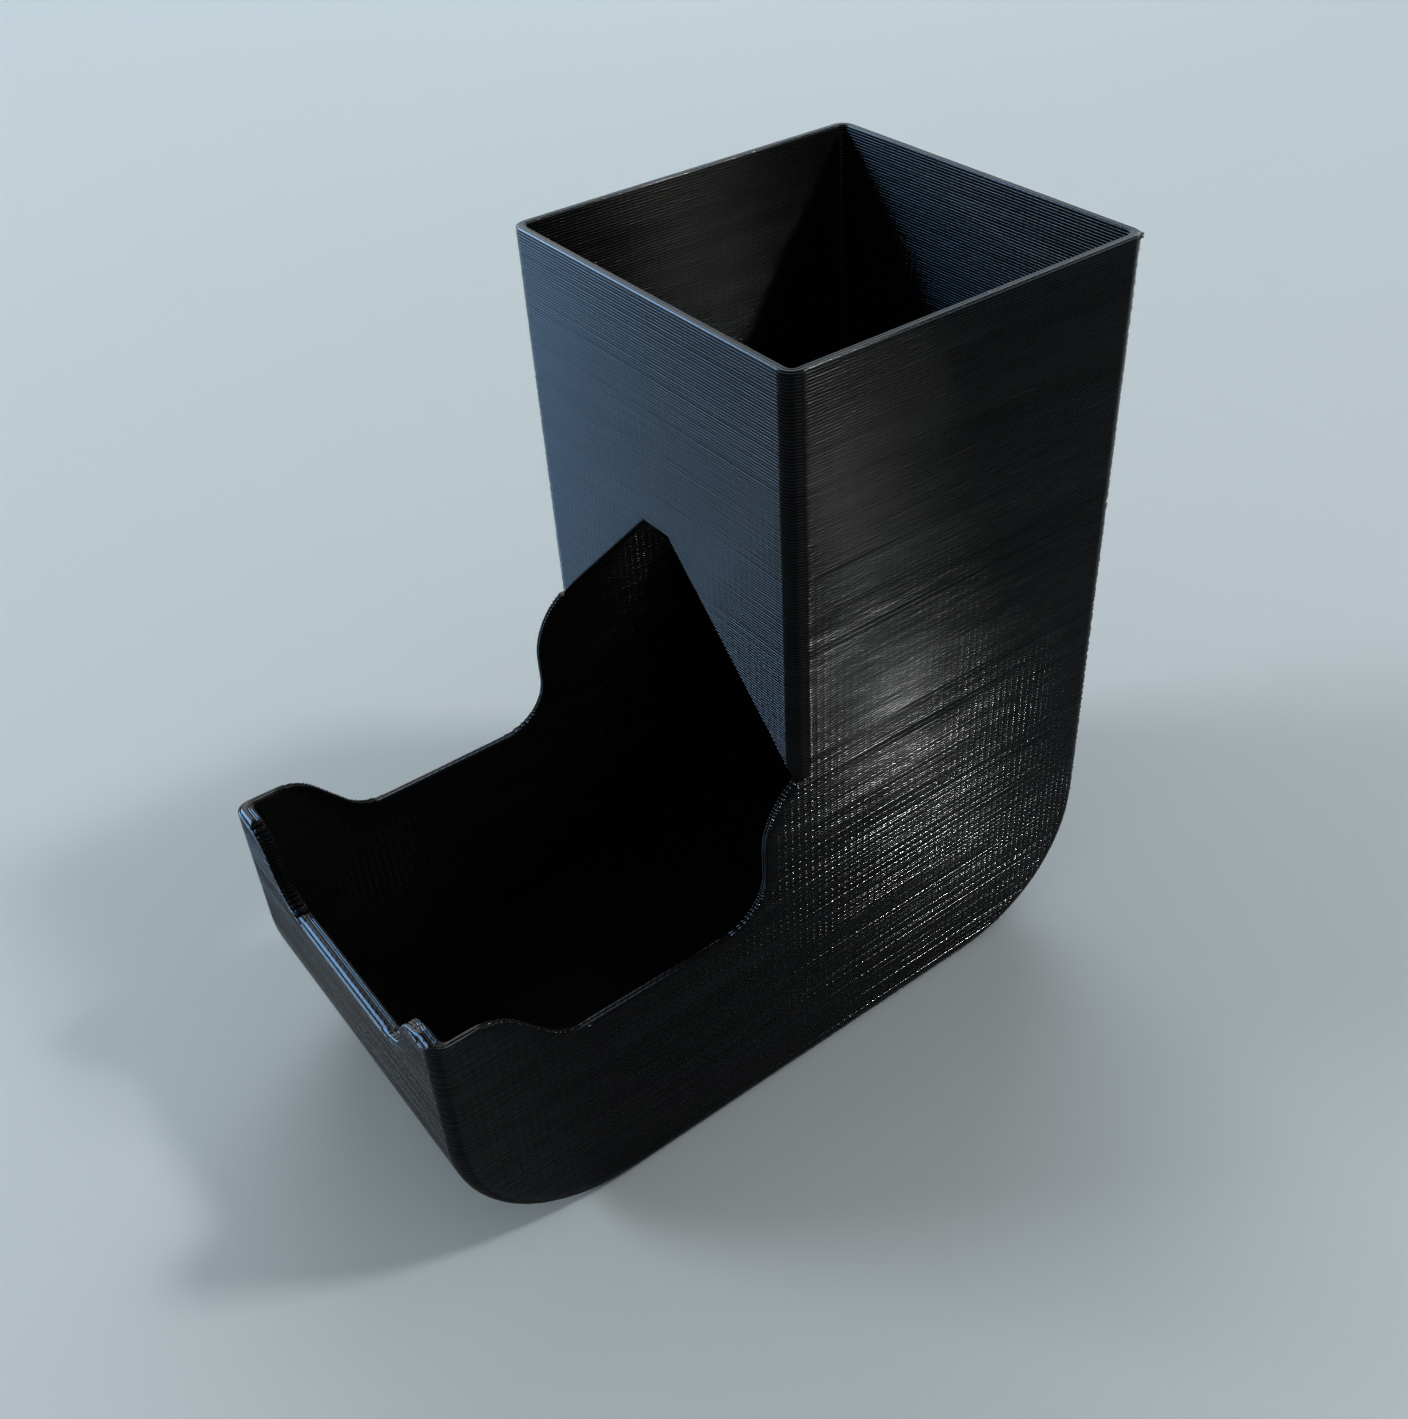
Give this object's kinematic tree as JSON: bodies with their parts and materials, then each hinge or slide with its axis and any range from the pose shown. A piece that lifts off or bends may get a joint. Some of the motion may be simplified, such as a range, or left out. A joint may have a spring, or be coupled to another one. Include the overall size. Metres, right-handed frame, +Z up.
{
  "type": "dice tower",
  "caption": "Small 3D-printed dice tower: open square shaft with a curved ramp and pointed doorway that lets dice roll into a low square tray with dipped rims.",
  "frame": {"origin": "centre of the footprint at table level", "axes": "+X across the tower to its right, +Y from the tray towards the shaft's back, +Z up"},
  "size_m": [0.05, 0.0988, 0.1],
  "materials": {
    "shell": "glossy black filament in fine horizontal layers",
    "infill": "glossy black filament, thin upright plates"
  },
  "bodies": {
    "root": {"shaft_front_wall": "shell", "shaft_back_wall": "shell", "shaft_left_wall": "shell", "shaft_right_wall": "shell", "exit_ramp": "shell", "heel_skin": "shell", "ramp_grid": "infill", "tray_floor": "shell", "tray_toe": "shell", "tray_front_wall": "shell", "tray_left_wall": "shell", "tray_right_wall": "shell"}
  },
  "joints": []
}
